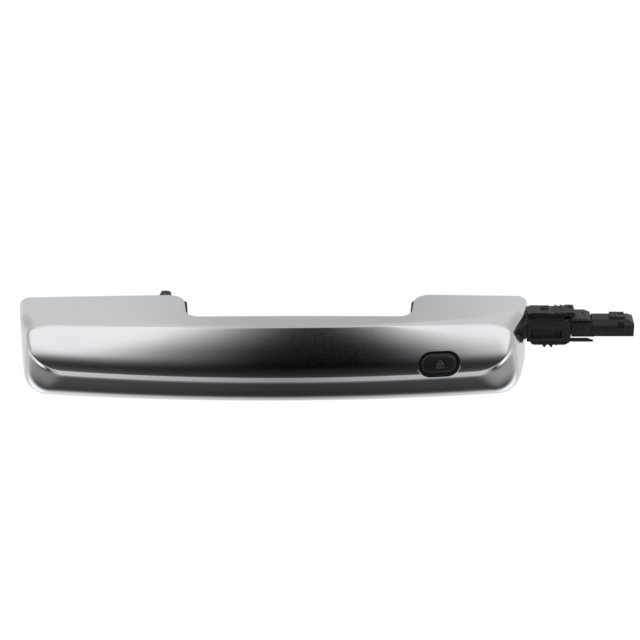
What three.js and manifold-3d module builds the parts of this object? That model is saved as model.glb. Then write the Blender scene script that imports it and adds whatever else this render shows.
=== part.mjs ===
// Car door handle with a passive-entry lock button, in millimetres.
// +X runs along the handle to its pivot end, +Y points into the door, +Z is up.
// The origin is the centre of the pivot seat, on the door plane Y = 0.
import * as THREE from 'three';
import { mergeVertices } from 'three/addons/utils/BufferGeometryUtils.js';
import Module from 'manifold-3d';

const wasm = await Module();
wasm.setup();

// ---- driving dimensions ----
const SHELL_LEFT = -204.3;
const SHELL_RIGHT = 25.2;
const SHELL_TOP = 16;
const WALL = 2.4;
const FIT = 0.3;
const MID_X = (SHELL_LEFT + SHELL_RIGHT) / 2;
const HALF_LENGTH = (SHELL_RIGHT - SHELL_LEFT) / 2;
const CROWN_X = MID_X + 18;
const BOW_RADIUS = 675;
const CREASE_Y = -37;
const CREASE_Z = -7;
const PILLOW_CURVE = 0.0104;
const GRIP_BACK_Y = -21.7;
const GAP_LEFT = -128.3;
const GAP_RIGHT = -27.4;
const GAP_FILLET = 6.5;
const GAP_SPLAY = 0.9;
const GAP_MOUTH = 8;
const COVER_PROUD = 0.9;
const COVER_MOUTH = 4;
const COVER_BACK_Y = -1.3;
const COVER_THICK = 2.2;
const COVER_BOTTOM = -19.6;
const COVER_TOP = 13.2;
const BUTTON_X = -15.8;
const BUTTON_Z = -2.6;

// ---- materials ----
const finish = (color, roughness, metalness) =>
  new THREE.MeshStandardMaterial({ color, roughness, metalness });
const CHROME = finish(0xc9ccd0, 0.2, 1);
const BLACK = finish(0x17181a, 0.5, 0);
const BLACK_SOFT = finish(0x222326, 0.7, 0);
const OLIVE = finish(0x5a5a50, 0.55, 0);
const RUBBER = finish(0x101011, 0.9, 0);
const STEEL = finish(0xa8abae, 0.35, 1);
const BRASS = finish(0xc9a24a, 0.3, 1);
const COPPER = finish(0xb8703c, 0.35, 1);
const BOARD_GREEN = finish(0x1f5a38, 0.5, 0);
const CHIP = finish(0x1b1b1d, 0.45, 0);
const CERAMIC = finish(0xb59a72, 0.5, 0);
const FERRITE = finish(0x3a3a3d, 0.6, 0);
const WHITE_PLASTIC = finish(0xd8d6cc, 0.5, 0);
const LEAD_COLOURS = [0x8a1f1f, 0x2a2a2c, 0x3c6ea5, 0xc9b43a];

// ---- solids and booleans ----
function solid(geometry) {
  const bare = geometry.clone();
  bare.deleteAttribute('normal');
  bare.deleteAttribute('uv');
  const merged = mergeVertices(bare, 1e-5);
  return new wasm.Manifold(new wasm.Mesh({
    numProp: 3,
    vertProperties: new Float32Array(merged.attributes.position.array),
    triVerts: new Uint32Array(merged.index.array),
  }));
}

function geometryOf(body) {
  const mesh = body.getMesh();
  const positions = new Float32Array((mesh.vertProperties.length / mesh.numProp) * 3);
  for (let i = 0; i < positions.length / 3; i += 1) {
    for (let k = 0; k < 3; k += 1) {
      positions[i * 3 + k] = mesh.vertProperties[i * mesh.numProp + k];
    }
  }
  const geometry = new THREE.BufferGeometry();
  geometry.setAttribute('position', new THREE.BufferAttribute(positions, 3));
  geometry.setIndex(new THREE.BufferAttribute(new Uint32Array(mesh.triVerts), 1));
  geometry.computeVertexNormals();
  return geometry;
}

const join = (first, ...rest) => rest.reduce((body, other) => body.add(other), first);
const cut = (first, ...rest) => rest.reduce((body, other) => body.subtract(other), first);

function box(x0, x1, y0, y1, z0, z1) {
  const geometry = new THREE.BoxGeometry(x1 - x0, y1 - y0, z1 - z0);
  geometry.translate((x0 + x1) / 2, (y0 + y1) / 2, (z0 + z1) / 2);
  return solid(geometry);
}

function extrude(shape, depth, curveSegments) {
  return new THREE.ExtrudeGeometry(shape, { depth, bevelEnabled: false, curveSegments });
}

// An outline in X and Y, as solid between two heights.
function alongZ(shape, z0, z1, curveSegments = 4) {
  return solid(extrude(shape, z1 - z0, curveSegments).translate(0, 0, z0));
}

// An outline in X and Z, as solid between two depths.
function alongY(shape, y0, y1, curveSegments = 4) {
  const geometry = extrude(shape, y1 - y0, curveSegments);
  geometry.rotateX(Math.PI / 2);
  return solid(geometry.translate(0, y1, 0));
}

// An outline in Y and Z, as solid between two places along the handle.
function alongX(shape, x0, x1, curveSegments = 4) {
  const geometry = extrude(shape, x1 - x0, curveSegments);
  const turn = new THREE.Matrix4().makeBasis(
    new THREE.Vector3(0, 1, 0), new THREE.Vector3(0, 0, 1), new THREE.Vector3(1, 0, 0));
  geometry.applyMatrix4(turn);
  return solid(geometry.translate(x0, 0, 0));
}

function pinY(x, z, radius, y0, y1, sides = 16) {
  const geometry = new THREE.CylinderGeometry(radius, radius, y1 - y0, sides);
  return solid(geometry.translate(x, (y0 + y1) / 2, z));
}

function polygon(points) {
  return new THREE.Shape(points.map(([a, b]) => new THREE.Vector2(a, b)));
}

function roundedRectangle(a, b, halfWidth, halfHeight, radius) {
  const shape = new THREE.Shape();
  const right = a + halfWidth - radius;
  const left = a - halfWidth + radius;
  const top = b + halfHeight - radius;
  const bottom = b - halfHeight + radius;
  shape.absarc(right, top, radius, 0, Math.PI / 2);
  shape.absarc(left, top, radius, Math.PI / 2, Math.PI);
  shape.absarc(left, bottom, radius, Math.PI, Math.PI * 1.5);
  shape.absarc(right, bottom, radius, Math.PI * 1.5, Math.PI * 2);
  return shape;
}

// ---- the outer form, lofted from the door plane to the front ----
const bow = (x) => (x - MID_X) ** 2 / (2 * BOW_RADIUS);
const endShare = (x) => ((x - CROWN_X) / HALF_LENGTH) ** 2;
const pillowY = (x, z) => CREASE_Y + PILLOW_CURVE * (z - CREASE_Z) ** 2 + bow(x);

// Each ring is an outline seen from the front: how far its ends stand in from the shell's, its top,
// bottom and corner radii, its depth at the bottom and at the top, and how much its top and its bottom
// sink at the ends.
const T = SHELL_TOP;
const RINGS = [
  { left: 0, right: 0, top: T, bottom: -22.2, rTop: 4.5, rBottom: 6, y: [0, 0], bow: 0, drop: 1.3,
    sag: 0 },
  { left: 0.7, right: 1.1, top: T, bottom: -22.4, rTop: 5.5, rBottom: 7, y: [-9, -9], bow: 0.3, drop: 1.3,
    sag: 0.4 },
  { left: 1.6, right: 2.2, top: T, bottom: -22.8, rTop: 6, rBottom: 8, y: [-20, -20], bow: 0.8, drop: 1.3,
    sag: 0.8 },
  { left: 2.6, right: 3.4, top: T, bottom: -23.5, rTop: 6.5, rBottom: 9, y: [-27.4, -24], bow: 1,
    drop: 1.2, sag: 0.8 },
  { left: 3.2, right: 4.2, top: T, bottom: -22.3, rTop: 6.5, rBottom: 10, y: [-30, -25.8], bow: 1,
    drop: 1.2, sag: 0.8 },
  { left: 3.8, right: 5, top: T, bottom: -20.2, rTop: 6.5, rBottom: 11, y: [-31.9, -27.4], bow: 1,
    drop: 1.1, sag: 0.6 },
  { left: 4.2, right: 5.8, top: T, bottom: -17.3, rTop: 6.5, rBottom: 12.5, y: [-33.4, -28.8], bow: 1,
    drop: 1, sag: 0.4 },
  { left: 5, right: 7, top: T - 0.1, bottom: -9.6, rTop: 6.5, rBottom: 17.5, y: [-36.55, -30.8], bow: 1,
    drop: 0.9, sag: 0 },
  { left: 5.6, right: 8.2, top: T - 0.7, bottom: -7, rTop: 5.6, rBottom: 16, bow: 1, drop: 0.9, sag: 0,
    pillow: true },
];
const LONG_STEPS = 14;
const TOP_CORNER_STEPS = 3;
const BOTTOM_CORNER_STEPS = 7;
const PILLOW_STEPS = [0.2, 0.42, 0.64, 0.84];
const PILLOW_SPINE_Z = 4;
const PILLOW_SPINE_END = 14;

function ringOutline(ring, inset) {
  const left = SHELL_LEFT + ring.left + inset;
  const right = SHELL_RIGHT - ring.right - inset;
  const top = ring.top - inset;
  const bottom = ring.bottom + inset;
  const rTop = ring.rTop - inset;
  const rBottom = ring.rBottom - inset;
  const points = [];
  const line = (from, to, z) => {
    for (let i = 0; i <= LONG_STEPS; i += 1) {
      points.push([THREE.MathUtils.lerp(from, to, i / LONG_STEPS), z]);
    }
  };
  const corner = (x, z, radius, start, steps) => {
    for (let i = 1; i < steps; i += 1) {
      const angle = start + (i / steps) * (Math.PI / 2);
      points.push([x + radius * Math.cos(angle), z + radius * Math.sin(angle)]);
    }
  };
  line(left + rBottom, right - rBottom, bottom);
  corner(right - rBottom, bottom + rBottom, rBottom, -Math.PI / 2, BOTTOM_CORNER_STEPS);
  points.push([right, bottom + rBottom]);
  points.push([right, top - rTop]);
  corner(right - rTop, top - rTop, rTop, 0, TOP_CORNER_STEPS);
  line(right - rTop, left + rTop, top);
  corner(left + rTop, top - rTop, rTop, Math.PI / 2, TOP_CORNER_STEPS);
  points.push([left, top - rTop]);
  points.push([left, bottom + rBottom]);
  corner(left + rBottom, bottom + rBottom, rBottom, Math.PI, BOTTOM_CORNER_STEPS);
  return points;
}

function ringPoints(ring, inset, backY) {
  return ringOutline(ring, inset).map(([x, flatZ]) => {
    const share = THREE.MathUtils.clamp((flatZ - ring.bottom) / (ring.top - ring.bottom), 0, 1);
    const z = flatZ - THREE.MathUtils.lerp(ring.sag, ring.drop, share) * endShare(x);
    if (ring.pillow) {
      return new THREE.Vector3(x, pillowY(x, z) + inset, z);
    }
    if (ring.bow === 0) {
      return new THREE.Vector3(x, backY, z);
    }
    const depth = THREE.MathUtils.lerp(ring.y[0], ring.y[1], share);
    return new THREE.Vector3(x, depth + ring.bow * bow(x) + inset, z);
  });
}

function pillowPoints(crease, inset, share) {
  const leftEnd = SHELL_LEFT + PILLOW_SPINE_END;
  const rightEnd = SHELL_RIGHT - PILLOW_SPINE_END;
  return crease.map((point) => {
    const x = THREE.MathUtils.lerp(point.x, THREE.MathUtils.clamp(point.x, leftEnd, rightEnd), share);
    const z = THREE.MathUtils.lerp(point.z, PILLOW_SPINE_Z, share);
    return new THREE.Vector3(x, pillowY(x, z) + inset, z);
  });
}

// Rungs between the bottom and the top edge of an outline, and a fan over each rounded end.
function capTriangles(count) {
  const topStart = LONG_STEPS + 2 + BOTTOM_CORNER_STEPS + TOP_CORNER_STEPS - 1;
  const topEnd = topStart + LONG_STEPS;
  const triangles = [];
  for (let i = 0; i < LONG_STEPS; i += 1) {
    triangles.push([i, i + 1, topEnd - i - 1], [i, topEnd - i - 1, topEnd - i]);
  }
  for (let i = LONG_STEPS + 1; i < topStart; i += 1) {
    triangles.push([LONG_STEPS, i, i + 1]);
  }
  for (let i = topEnd; i < count - 1; i += 1) {
    triangles.push([0, i, i + 1]);
  }
  return triangles;
}

function handleForm(inset, backY) {
  const loops = RINGS.map((ring) => ringPoints(ring, inset, backY));
  const crease = loops[loops.length - 1];
  PILLOW_STEPS.forEach((share) => loops.push(pillowPoints(crease, inset, share)));
  const count = crease.length;
  const index = [];
  for (let r = 0; r + 1 < loops.length; r += 1) {
    for (let i = 0; i < count; i += 1) {
      const a = r * count + i;
      const b = r * count + ((i + 1) % count);
      index.push(a, b, b + count, a, b + count, a + count);
    }
  }
  capTriangles(count).forEach(([a, b, c]) => index.push(a, c, b));
  const last = (loops.length - 1) * count;
  capTriangles(count).forEach(([a, b, c]) => index.push(last + a, last + b, last + c));
  const geometry = new THREE.BufferGeometry().setFromPoints(loops.flat());
  geometry.setIndex(index);
  return solid(geometry);
}

// The finger gap seen from above, moved outwards by a margin. Its mouth opens out with a radius.
function gapOutline(margin, backY, mouth) {
  const left = GAP_LEFT - margin;
  const right = GAP_RIGHT + margin;
  const radius = GAP_FILLET + margin;
  const floor = GRIP_BACK_Y - margin;
  const shape = new THREE.Shape();
  shape.moveTo(right + GAP_SPLAY + mouth, backY);
  shape.lineTo(left - GAP_SPLAY - mouth, backY);
  shape.absarc(left - GAP_SPLAY - mouth, -mouth - Math.max(margin, 0), mouth, Math.PI / 2, 0, true);
  shape.absarc(left + radius, floor + radius, radius, Math.PI, Math.PI * 1.5);
  shape.absarc(right - radius, floor + radius, radius, Math.PI * 1.5, Math.PI * 2);
  shape.absarc(right + GAP_SPLAY + mouth, -mouth - Math.max(margin, 0), mouth, Math.PI, Math.PI / 2, true);
  return shape;
}


// ---- the part ----
const handle = new THREE.Group();

function add(name, body, material) {
  const mesh = new THREE.Mesh(geometryOf(body), material);
  mesh.name = name;
  handle.add(mesh);
}

// ---- screws and the bosses that they go into ----
const COVER_SCREW_X = [-114, -40];
const COVER_SCREW_Z = -11.5;
const COVER_BOSS_END = -24.4;
const FOOT_SCREW = [-186, -4];
const HOOK_SCREW_X = [-12.5, 9.5];
const HOOK_SCREW_Z = -14;
const BOSS_RADIUS = 2.6;
const SHANK_RADIUS = 1;
const HEAD_RADIUS = 2.1;
const BASE_BACK_Y = -4.2;

function boss(x, z, endY) {
  return pinY(x, z, BOSS_RADIUS, CREASE_Y + 3, endY);
}

function pilotHole(x, z, endY) {
  return pinY(x, z, SHANK_RADIUS + FIT, endY - 9, endY + 1, 12);
}

function screw(x, z, headY) {
  const head = pinY(x, z, HEAD_RADIUS, headY - 1.4, headY);
  const shank = pinY(x, z, SHANK_RADIUS, headY - 9, headY - 1, 12);
  const slot = box(x - 1.4, x + 1.4, headY - 0.6, headY + 1, z - 0.3, z + 0.3);
  return cut(join(head, shank), slot);
}

function screwHole(x, z, headY) {
  const seat = pinY(x, z, HEAD_RADIUS + FIT, headY - 1.4 - FIT, headY + 2);
  return join(seat, pinY(x, z, SHANK_RADIUS + FIT, headY - 9, headY));
}

const COVER_HEAD_Y = GRIP_BACK_Y + COVER_PROUD - 0.4;
const BASE_HEAD_Y = -1.4;

// ---- outer shell ----
const BUTTON_HALF = [8.1, 5];
const BUTTON_RADIUS = 4.6;
const NOTCH = { left: 14.5, front: -7.2, high: 9.2, low: -4.6 };

function buttonOutline(margin) {
  return roundedRectangle(BUTTON_X, BUTTON_Z, BUTTON_HALF[0] + margin, BUTTON_HALF[1] + margin,
    BUTTON_RADIUS + margin);
}

// The opening in the end wall for the hook, seen along the handle, made smaller by a margin.
function notchOutline(margin) {
  const front = NOTCH.front + margin;
  const high = NOTCH.high - margin;
  const low = NOTCH.low + margin;
  return polygon([
    [3, high], [front / 3, high - 0.4], [front + 2.4, high - 1.9], [front, high - 5.2],
    [front, low + 3], [front + 2, low], [3, low]]);
}

const inside = handleForm(WALL, 3);
const form = handleForm(0, 0);
const bosses = join(
  boss(COVER_SCREW_X[0], COVER_SCREW_Z, COVER_BOSS_END),
  boss(COVER_SCREW_X[1], COVER_SCREW_Z, COVER_BOSS_END),
  boss(...FOOT_SCREW, BASE_BACK_Y),
  boss(HOOK_SCREW_X[0], HOOK_SCREW_Z, BASE_BACK_Y),
  boss(HOOK_SCREW_X[1], HOOK_SCREW_Z, BASE_BACK_Y),
).intersect(form);
const pilots = join(
  pilotHole(COVER_SCREW_X[0], COVER_SCREW_Z, COVER_BOSS_END),
  pilotHole(COVER_SCREW_X[1], COVER_SCREW_Z, COVER_BOSS_END),
  pilotHole(...FOOT_SCREW, BASE_BACK_Y),
  pilotHole(HOOK_SCREW_X[0], HOOK_SCREW_Z, BASE_BACK_Y),
  pilotHole(HOOK_SCREW_X[1], HOOK_SCREW_Z, BASE_BACK_Y),
);
const walls = cut(form, inside,
  alongZ(gapOutline(0, 3, GAP_MOUTH), -40, 40),
  alongY(buttonOutline(1 + FIT), CREASE_Y - 5, -20),
  alongX(notchOutline(0), NOTCH.left, SHELL_RIGHT + 5));
add('outer_shell', cut(join(walls, bosses), pilots), CHROME);

// ---- inner cover on the finger side ----
const COVER_OUTSIDE = COVER_THICK - COVER_PROUD;
const coverBand = cut(
  alongZ(gapOutline(COVER_OUTSIDE, 3, GAP_MOUTH - COVER_OUTSIDE), COVER_BOTTOM, COVER_TOP),
  alongZ(gapOutline(-COVER_PROUD, 6, COVER_MOUTH), -40, 40),
  box(-400, 400, COVER_BACK_Y, 9, -40, 40));
add('inner_cover', cut(coverBand,
  screwHole(COVER_SCREW_X[0], COVER_SCREW_Z, COVER_HEAD_Y),
  screwHole(COVER_SCREW_X[1], COVER_SCREW_Z, COVER_HEAD_Y)), BLACK_SOFT);
COVER_SCREW_X.forEach((x, i) => add(`cover_screw_${i + 1}`, screw(x, COVER_SCREW_Z, COVER_HEAD_Y), STEEL));

// ---- rear foot: base plate, ribs and the claw that pulls the latch lever ----
const PLATE_THICK = 3.6;
const CLAW = { left: -141.6, right: -137.2, tip: 23, bottom: -7, top: 6.5 };
const BUFFER = { x: -166, z: -2, halfWidth: 7, halfHeight: 5 };
const footPlate = alongY(roundedRectangle(-168.7, -2.4, 31.1, 14.2, 6.5), -PLATE_THICK, 0);
const clawArm = alongZ(polygon([
  [CLAW.left - 9, -1], [CLAW.right, -1], [CLAW.right, CLAW.tip - 1.5], [CLAW.right - 1.5, CLAW.tip],
  [CLAW.left, CLAW.tip], [CLAW.left - 1, 17.5], [CLAW.left - 6.5, 17.5], [CLAW.left - 8, 16],
  [CLAW.left - 8, 13.5], [CLAW.left - 1, 13.5], [CLAW.left - 1, 3], [CLAW.left - 9, 1.5],
]), CLAW.bottom, CLAW.top);
const bufferPocket = alongY(
  roundedRectangle(BUFFER.x, BUFFER.z, BUFFER.halfWidth + FIT, BUFFER.halfHeight + FIT, 2.3), -1.5, 1);
add('rear_foot', cut(join(footPlate, clawArm), bufferPocket, screwHole(...FOOT_SCREW, BASE_HEAD_Y)), BLACK);
add('foot_buffer', alongY(
  roundedRectangle(BUFFER.x, BUFFER.z, BUFFER.halfWidth, BUFFER.halfHeight, 2), -1.2, 0.8), RUBBER);
add('foot_screw', screw(...FOOT_SCREW, BASE_HEAD_Y), STEEL);

// ---- pivot hook: base plate, end block and the arm with its lead channel ----
const HOOK = { end: 45.2, front: -4.6, back: 5.4, bottom: -3.6, top: 5.2 };
const CHANNEL = { front: -3, back: 3, bottom: -2, top: 3.4 };
const hookPlate = alongY(roundedRectangle(0.7, -2.4, 18.7, 14.2, 6.5), -PLATE_THICK, 0);
const endBlock = alongX(notchOutline(FIT), NOTCH.left + FIT, SHELL_RIGHT).intersect(
  alongZ(polygon([[0, -14], [19.8, -14], [20.4, -9.2], [24.9, -7.4], [24.9, 0], [0, 0]]), -20, 20));
const hookArm = box(16, HOOK.end, HOOK.front, HOOK.back, HOOK.bottom, HOOK.top);
const hookNose = alongZ(polygon([
  [25, 5], [33, 5], [33, 8.2], [31.5, 9.5], [27.5, 9.5], [25, 7.5]]), HOOK.bottom, HOOK.top - 1);
const armStep = box(42, 50, -20, 20, CHANNEL.top, 20);
const leadChannel = box(6, 60, CHANNEL.front, CHANNEL.back, CHANNEL.bottom, CHANNEL.top);
const leadEntry = box(4, 15.5, -20, CHANNEL.back, CHANNEL.bottom, CHANNEL.top);
add('pivot_hook', cut(join(hookPlate, endBlock, hookArm, hookNose), armStep, leadChannel, leadEntry,
  screwHole(HOOK_SCREW_X[0], HOOK_SCREW_Z, BASE_HEAD_Y),
  screwHole(HOOK_SCREW_X[1], HOOK_SCREW_Z, BASE_HEAD_Y)), BLACK);
HOOK_SCREW_X.forEach((x, i) => add(`hook_screw_${i + 1}`, screw(x, HOOK_SCREW_Z, BASE_HEAD_Y), STEEL));

// ---- latch sleeve: front plate with a window, bottom plate and the long lower rail ----
const SLEEVE = { left: 25.2, right: 44.6, front: -6.2, thick: 1.2, bottom: -4.9 };
const RAIL_END = 55.2;
const sleeveFront = box(SLEEVE.left, SLEEVE.right, SLEEVE.front, SLEEVE.front + SLEEVE.thick,
  SLEEVE.bottom, HOOK.top - 0.4);
const sleeveFloor = box(SLEEVE.left, SLEEVE.right, SLEEVE.front, HOOK.back,
  SLEEVE.bottom, SLEEVE.bottom + 1);
const sleeveRail = alongZ(polygon([
  [SLEEVE.left, SLEEVE.front], [RAIL_END, SLEEVE.front], [RAIL_END - 2.6, SLEEVE.front + 2],
  [SLEEVE.left, SLEEVE.front + 2]]), SLEEVE.bottom, SLEEVE.bottom + 1);
const sleeveWindow = box(26.6, 41, SLEEVE.front - 1, SLEEVE.front + 3, -3.2, 0.8);
add('latch_sleeve', cut(join(sleeveFront, sleeveFloor, sleeveRail), sleeveWindow), BLACK);

// ---- release levers of the latch ----
const UPPER_LEVER = { left: 25.6, right: 46.8, front: -2.6, back: 5.4, foot: HOOK.top + FIT };
const UPPER_RIBS = [38.6, 41.1];
const upperProfile = polygon([
  [UPPER_LEVER.left, UPPER_LEVER.foot], [UPPER_LEVER.left + 2.4, UPPER_LEVER.foot], [30.5, 6.6],
  [UPPER_LEVER.right, 6.2], [UPPER_LEVER.right, 7.6], [UPPER_LEVER.right - 0.6, 8.1], [43, 8.1],
  [42.2, 7.6], [36, 7.4], [29.6, 7.8], [27.5, 7.8], [UPPER_LEVER.left, 7.1]]);
const leverBody = alongY(upperProfile, UPPER_LEVER.front, UPPER_LEVER.back);
const leverRibs = UPPER_RIBS.map((x) =>
  box(x - 0.5, x + 0.5, UPPER_LEVER.front, UPPER_LEVER.back, 7.2, 8));
add('upper_release_lever', join(leverBody, ...leverRibs), BLACK);

const LOWER_LEVER = { left: 27, right: 44.8, front: -5.2, back: 1.2, root: SLEEVE.bottom - FIT };
const LOWER_TEETH = [33.3, 36.3];
const lowerProfile = polygon([
  [LOWER_LEVER.left, LOWER_LEVER.root], [LOWER_LEVER.left + 2.2, LOWER_LEVER.root], [30.8, -6],
  [42.6, -6], [LOWER_LEVER.right, -5.8], [42.6, -7.1], [LOWER_LEVER.left + 1.4, -7.1],
  [LOWER_LEVER.left, -6.2]]);
const lowerTeeth = LOWER_TEETH.map((x) => alongY(
  polygon([[x - 1, -7], [x + 1, -7], [x + 0.4, -8.3], [x - 0.2, -8.3]]),
  LOWER_LEVER.front, LOWER_LEVER.back));
add('lower_release_lever', join(alongY(lowerProfile, LOWER_LEVER.front, LOWER_LEVER.back), ...lowerTeeth),
  BLACK);

// ---- connector: housing, seal, terminals and the slide that locks them ----
const PLUG = { left: 54.7, right: 73.6, front: -5, back: 5, bottom: -2.8, top: 4.8, chamfer: 2 };
const NECK = { left: 45.5, front: -4.6, back: 4.6, bottom: -3.2, top: 3.3 };
const SOCKET = { left: 63, halfWidth: 3.4, bottom: -1.6, top: 3.1 };
const SEAL_POCKET = { left: 45.3, right: 50.2, halfWidth: 3.6, bottom: -1.2, top: 2.5 };
const TERMINALS = [[-1.6, -0.15], [1.6, -0.15], [-1.6, 1.95], [1.6, 1.95]];
const TERMINAL_HALF = 0.45;

const plugMain = alongX(polygon([
  [PLUG.front, PLUG.bottom], [PLUG.back, PLUG.bottom], [PLUG.back, PLUG.top - PLUG.chamfer],
  [PLUG.back - PLUG.chamfer, PLUG.top], [PLUG.front + PLUG.chamfer, PLUG.top],
  [PLUG.front, PLUG.top - PLUG.chamfer]]), PLUG.left, PLUG.right).intersect(
  alongY(polygon([
    [PLUG.left, PLUG.bottom], [PLUG.right, PLUG.bottom], [PLUG.right, PLUG.top - 1.6],
    [PLUG.right - 2.4, PLUG.top], [PLUG.left, PLUG.top]]), -9, 9));
const plugNeck = box(NECK.left, PLUG.left + 1, NECK.front, NECK.back, NECK.bottom, NECK.top);
const plugTab = box(62.7, 69.4, -2.6, 2.6, PLUG.top - 1, PLUG.top + 1.1);
const keyNotch = box(66.2, 69, PLUG.front - 1, PLUG.front + 1.1, 1.4, PLUG.top - 0.6);
const socketHole = box(SOCKET.left, PLUG.right + 2, -SOCKET.halfWidth, SOCKET.halfWidth,
  SOCKET.bottom, SOCKET.top);
const sealPocket = box(SEAL_POCKET.left, SEAL_POCKET.right, -SEAL_POCKET.halfWidth,
  SEAL_POCKET.halfWidth, SEAL_POCKET.bottom, SEAL_POCKET.top);
const terminalHoles = TERMINALS.map(([y, z]) => box(SEAL_POCKET.right - 1, SOCKET.left + 1,
  y - TERMINAL_HALF - FIT, y + TERMINAL_HALF + FIT, z - TERMINAL_HALF - FIT, z + TERMINAL_HALF + FIT));
add('connector_housing', cut(join(plugMain, plugNeck, plugTab),
  keyNotch, socketHole, sealPocket, ...terminalHoles), BLACK);
TERMINALS.forEach(([y, z], i) => add(`terminal_${i + 1}`, box(51.2, 67,
  y - TERMINAL_HALF, y + TERMINAL_HALF, z - TERMINAL_HALF, z + TERMINAL_HALF), BRASS));

const LEAD_RADIUS = 0.55;
const sealBlock = box(SEAL_POCKET.left + 0.3, SEAL_POCKET.right - FIT, FIT - SEAL_POCKET.halfWidth,
  SEAL_POCKET.halfWidth - FIT, SEAL_POCKET.bottom + FIT, SEAL_POCKET.top - FIT);
const sealHoles = TERMINALS.map(([y, z]) => box(44, 52, y - LEAD_RADIUS - 0.2, y + LEAD_RADIUS + 0.2,
  z - LEAD_RADIUS - 0.2, z + LEAD_RADIUS + 0.2));
add('connector_seal', cut(sealBlock, ...sealHoles), RUBBER);

const LOCK = { left: 45.2, right: 54.4, front: -3, back: 6.2, bottom: 3.8, top: 5.3 };
add('terminal_lock', alongY(polygon([
  [LOCK.left, LOCK.bottom], [LOCK.right, LOCK.bottom], [LOCK.right, LOCK.bottom + 0.4],
  [LOCK.right - 2.8, LOCK.top], [LOCK.left, LOCK.top]]), LOCK.front, LOCK.back), OLIVE);

// ---- lock button and what it presses ----
const BUTTON_FACE_Y = -32.3;
const FLANGE = { y0: -27.3, y1: -26.1, extra: 1.5 };
const FRAME = { y0: -26.2, y1: -22.7, wall: 1.4 };
const STEM_TIP_Y = -22.35;
const buttonCap = alongY(buttonOutline(0), BUTTON_FACE_Y, FLANGE.y1);
const buttonFlange = alongY(buttonOutline(FLANGE.extra), FLANGE.y0, FLANGE.y1);
const buttonStem = pinY(BUTTON_X, BUTTON_Z, 2, FLANGE.y1 - 0.5, STEM_TIP_Y);
add('lock_button', join(buttonCap, buttonFlange, buttonStem), BLACK);
add('button_seal', cut(alongY(buttonOutline(1), BUTTON_FACE_Y + 0.3, FLANGE.y0 - FIT),
  alongY(buttonOutline(FIT), -60, 0)), RUBBER);
add('button_frame', cut(alongY(buttonOutline(FLANGE.extra + FIT + FRAME.wall), FRAME.y0, FRAME.y1),
  alongY(buttonOutline(FLANGE.extra + FIT), -60, 0)), BLACK_SOFT);

const SWITCH = { y0: -21.1, y1: -17.9, half: 3.1 };
const PLUNGER = { radius: 1.5, y0: -21.8, y1: -20.5 };
add('tact_switch', cut(
  box(BUTTON_X - SWITCH.half, BUTTON_X + SWITCH.half, SWITCH.y0, SWITCH.y1,
    BUTTON_Z - SWITCH.half, BUTTON_Z + SWITCH.half),
  pinY(BUTTON_X, BUTTON_Z, PLUNGER.radius + FIT, SWITCH.y0 - 1, PLUNGER.y1 + 0.5)), CHIP);
add('switch_plunger', pinY(BUTTON_X, BUTTON_Z, PLUNGER.radius, PLUNGER.y0, PLUNGER.y1), WHITE_PLASTIC);

// ---- electronics in the pivot leg ----
const BOARD = { left: -23.8, right: 12, y0: -17.6, y1: -16, bottom: -9.8, top: 8.6 };
const boardPart = (x0, x1, height, z0, z1) =>
  box(x0, x1, BOARD.y0 - FIT - height, BOARD.y0 - FIT, z0, z1);
add('circuit_board', box(BOARD.left, BOARD.right, BOARD.y0, BOARD.y1, BOARD.bottom, BOARD.top), BOARD_GREEN);
add('microcontroller', boardPart(-6, 1, 1.2, -7.5, -0.5), CHIP);
add('antenna_driver', boardPart(-6, -1, 1.4, 2, 7), CHIP);
add('capacitor_1', boardPart(3, 6.2, 2, -5.5, -2.5), CERAMIC);
add('capacitor_2', boardPart(3, 6.2, 2, 2, 5), CERAMIC);
const TRAY = { left: -24.2, right: 12.8, y0: -15.7, y1: -14, bottom: -10.4, top: 9.2 };
const trayRelief = box(7.2, 20, -30, 0, -3, 4.6);
add('electronics_tray', cut(
  box(TRAY.left, TRAY.right, TRAY.y0, TRAY.y1, TRAY.bottom, TRAY.top), trayRelief), BLACK_SOFT);

// ---- aerial and proximity electrode in the grip ----
const AERIAL = { left: -104, right: -62, y: -28.2, z: -0.5 };
const CORE = { halfY: 1.3, halfZ: 2.4 };
const TUBE_WALL = 0.9;
function aerialBox(x0, x1, margin) {
  return box(x0, x1, AERIAL.y - CORE.halfY - margin, AERIAL.y + CORE.halfY + margin,
    AERIAL.z - CORE.halfZ - margin, AERIAL.z + CORE.halfZ + margin);
}
const bobbinTube = aerialBox(AERIAL.left, AERIAL.right, FIT + TUBE_WALL);
const bobbinFlanges = [AERIAL.left, AERIAL.right - 1.2].map((x) => aerialBox(x, x + 1.2, 2.6));
add('antenna_bobbin', cut(join(bobbinTube, ...bobbinFlanges), aerialBox(-130, -40, FIT)), BLACK_SOFT);
add('ferrite_core', aerialBox(AERIAL.left - 1.5, AERIAL.right + 1.5, 0), FERRITE);
add('antenna_coil', cut(aerialBox(AERIAL.left + 1.6, AERIAL.right - 1.6, 2.4),
  aerialBox(-130, -40, 2 * FIT + TUBE_WALL)), COPPER);
add('sensor_electrode', box(-57, -46, -25, -24.4, -6, 8), COPPER);

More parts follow.
